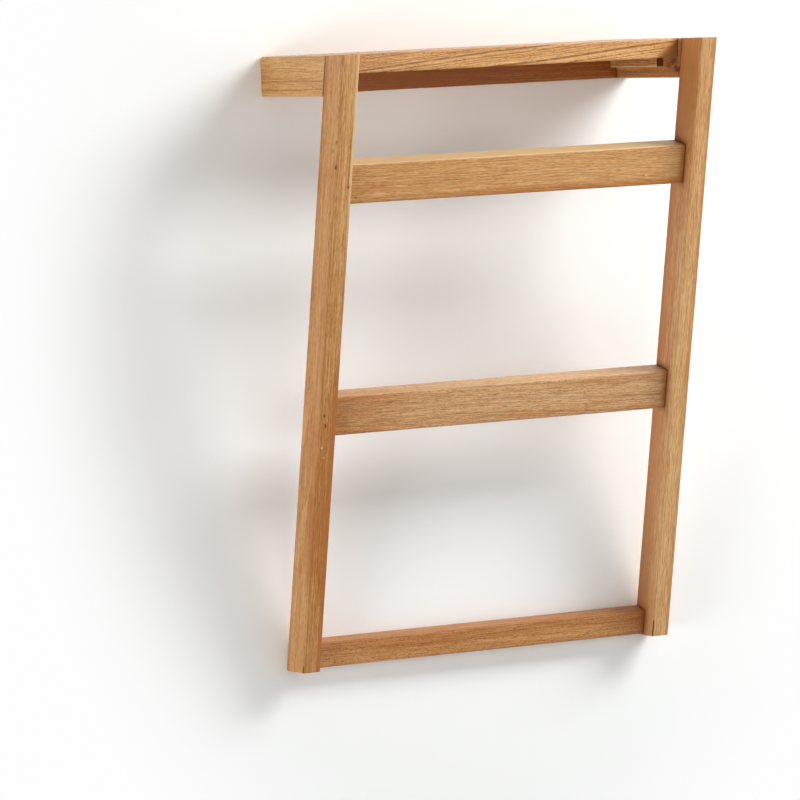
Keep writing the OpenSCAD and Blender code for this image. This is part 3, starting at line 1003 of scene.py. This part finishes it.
def zinc_plated(name, tint, spangle, scuff):
    """Bright zinc on steel; spangle and scuff are the sizes of its patches in millimetres."""
    finish, start = blank_finish(name)
    place = start.node("TexCoord", output="Object")
    along, across, face = (place.dot(axis) * mm_per_m for axis in (level_x, upright, level_y))
    patches = grain_noise(along, across, face, (spangle, spangle, spangle), 5.0, 2.0)
    scuffs = grain_noise(along, across, face, (scuff * 0.2, scuff * 4, scuff), 15.0, 2.0).rise(0.62, 0.72)
    colour = patches.rise(0.35, 0.70).between(tint, shaded(tint, 0.72))
    roughness = 0.30 + patches * 0.14 + scuffs * 0.16
    relief = patches * 0.4 - scuffs
    surfaced(colour, roughness, relief, strength=0.4, depth=0.00004, others={"Metallic": 1.0})
    return finish


screw_zinc = zinc_plated("screw_zinc", (0.62, 0.62, 0.60, 1), 1.6, 0.5)
plate_zinc = zinc_plated("plate_zinc", (0.66, 0.67, 0.68, 1), 4.0, 0.8)
for side in ("left", "right"):
    for screws in ("_cleat_screws", "_shelf_screws", "_hanger_screws"):
        dressed(side + screws, screw_zinc)
    dressed(side + "_hanger_plate", plate_zinc)


# Wall and floor: a plain white wall that the rack hangs on, seen only from
# the room, and a pale floor below.

wall_half = 2.6
floor_drop = 1.1
wall_white = (0.90, 0.90, 0.90, 1)
wall_seen = (0.992, 1.0, 0.984, 1)
wall_paper = (0.985, 0.985, 0.985, 1)
wall_fade = (0.41, 0.60)
wall_fade_rise = 0.03
wall_fade_squash = 0.75
floor_white = (0.90, 0.895, 0.885, 1)
floor_bounce = (0.38, 0.375, 0.37, 1)


def room_side(name, corners, colour):
    """A flat side of the room in matt paint, which is returned with its tree still open."""
    mesh = bpy.data.meshes.new(name)
    mesh.from_pydata(corners, [], [(0, 1, 2, 3)])
    ground = bpy.data.objects.new(name, mesh)
    bpy.context.scene.collection.objects.link(ground)
    ground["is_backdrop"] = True
    paint, start = blank_finish(name + "_paint")
    mesh.materials.append(paint)
    return start.node("BsdfDiffuse", None, {"Color": colour})


# The wall is open from behind and lets the lamps' light through; to the camera it
# is a whiter paint that fades to plain white in an oval round the rack
floor_z = rail_foot - floor_drop
matt = room_side("wall", [
    (-wall_half, 0, floor_z), (wall_half, 0, floor_z),
    (wall_half, 0, wall_half), (-wall_half, 0, wall_half),
], wall_white)
ray = matt.node("LightPath", output="Is Camera Ray")
shadow_ray = matt.node("LightPath", output="Is Shadow Ray")
behind = matt.node("NewGeometry", output="Backfacing")
through = (ray * behind).math("MAXIMUM", shadow_ray)
spot = matt.node("TexCoord", output="Object")
off_x = spot.dot(level_x) - (cad_low.x + cad_high.x) / 2
off_z = (spot.dot(upright) - (cad_low.z + cad_high.z) / 2 - wall_fade_rise) * wall_fade_squash
away = distance(off_x, off_z).rise(*wall_fade)
paper = matt.node("Emission", None, {"Color": wall_paper})
seen_wall = matt.node("BsdfDiffuse", None, {"Color": wall_seen})
clear = matt.node("BsdfTransparent")
wall = through.choice(ray.choice(matt, away.choice(seen_wall, paper)), clear)
wall.node("OutputMaterial", None, {"Surface": wall})

# To the camera the floor is plain; to the rack it throws back less light
matt = room_side("floor", [
    (-wall_half, -2 * wall_half, floor_z), (wall_half, -2 * wall_half, floor_z),
    (wall_half, 0, floor_z), (-wall_half, 0, floor_z),
], floor_white)
ray = matt.node("LightPath", output="Is Camera Ray")
bounced = matt.node("BsdfDiffuse", None, {"Color": floor_bounce})
floor = ray.choice(bounced, matt)
floor.node("OutputMaterial", None, {"Surface": floor})


# Light: a soft lamp high on the right, a weaker one low on the left, a broad
# weak one in front, one behind the wall for the back, and an even room light.

rack_middle = (cad_low + cad_high) / 2
room_light = 0.33
room_tint = (1.0, 0.975, 0.935, 1)
room_white = (0.96, 0.96, 0.955, 1)
lamp_tint = (0.98, 1.0, 1.025)

# Each lamp's azimuth from straight ahead, elevation and roll in degrees, its
# distance, width and height in metres, and the light that it gives the rack
lamps = {
    "key_lamp": (58, 36, -40, 3.0, 1.9, 1.0, 1.02),
    "fill_lamp": (-72, -13, 0, 2.8, 1.2, 1.0, 0.38),
    "front_lamp": (14, 5, 0, 3.0, 3.0, 1.4, 0.18),
    "rear_lamp": (180, 20, 0, 2.0, 2.0, 2.0, 0.30),
}
for name, (azimuth, elevation, roll, reach, width, height, strength) in lamps.items():
    turn, tilt = math.radians(azimuth), math.radians(elevation)
    heading = Vector((
        math.sin(turn) * math.cos(tilt), -math.cos(turn) * math.cos(tilt), math.sin(tilt)))
    lamp = bpy.data.lights.new(name, "AREA")
    lamp.color = lamp_tint
    lamp.shape = "RECTANGLE"
    lamp.size, lamp.size_y = width, height
    lamp.energy = strength * (math.pi * reach) ** 2
    holder = bpy.data.objects.new(name, lamp)
    holder.matrix_world = Matrix.Translation(rack_middle + heading * reach) @ (
        heading.to_track_quat("Z", "Y").to_matrix().to_4x4()) @ (
        Matrix.Rotation(math.radians(roll), 4, "Z"))
    bpy.context.scene.collection.objects.link(holder)

world = bpy.data.worlds.new("room")
bpy.context.scene.world = world
world.use_nodes = True
world.node_tree.nodes.clear()
start = Field(world.node_tree, None)
seen = start.node("LightPath", output="Is Camera Ray")
glossy = start.node("LightPath", output="Is Glossy Ray")
even = start.node("Background", None, {"Color": room_tint, "Strength": room_light})
white = start.node("Background", None, {"Color": room_white, "Strength": 1.0})
sky = seen.math("MAXIMUM", glossy).choice(even, white)
sky.node("OutputWorld", None, {"Surface": sky})


# Camera: far off to the left and a little above, with a long lens, as the rack
# was photographed.

camera_place = Vector((-3.26839, -5.96692, 0.11388))
camera_right = Vector((0.87992, -0.47326, -0.04230))
camera_up = Vector((0.07229, 0.04534, 0.99635))
camera_back = camera_right.cross(camera_up)
focal_length = 256.07
film_width = 36
near_limit = 0.5
far_limit = 30

lens = bpy.data.cameras.new("camera")
lens.sensor_width = film_width
lens.lens = focal_length
lens.clip_start = near_limit
lens.clip_end = far_limit
camera = bpy.data.objects.new("camera", lens)
camera.matrix_world = Matrix.Translation(camera_place) @ Matrix(
    (camera_right, camera_up, camera_back)).transposed().to_4x4()
bpy.context.scene.collection.objects.link(camera)
bpy.context.scene.camera = camera

bpy.context.scene.view_settings.view_transform = "Standard"

low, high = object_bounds()
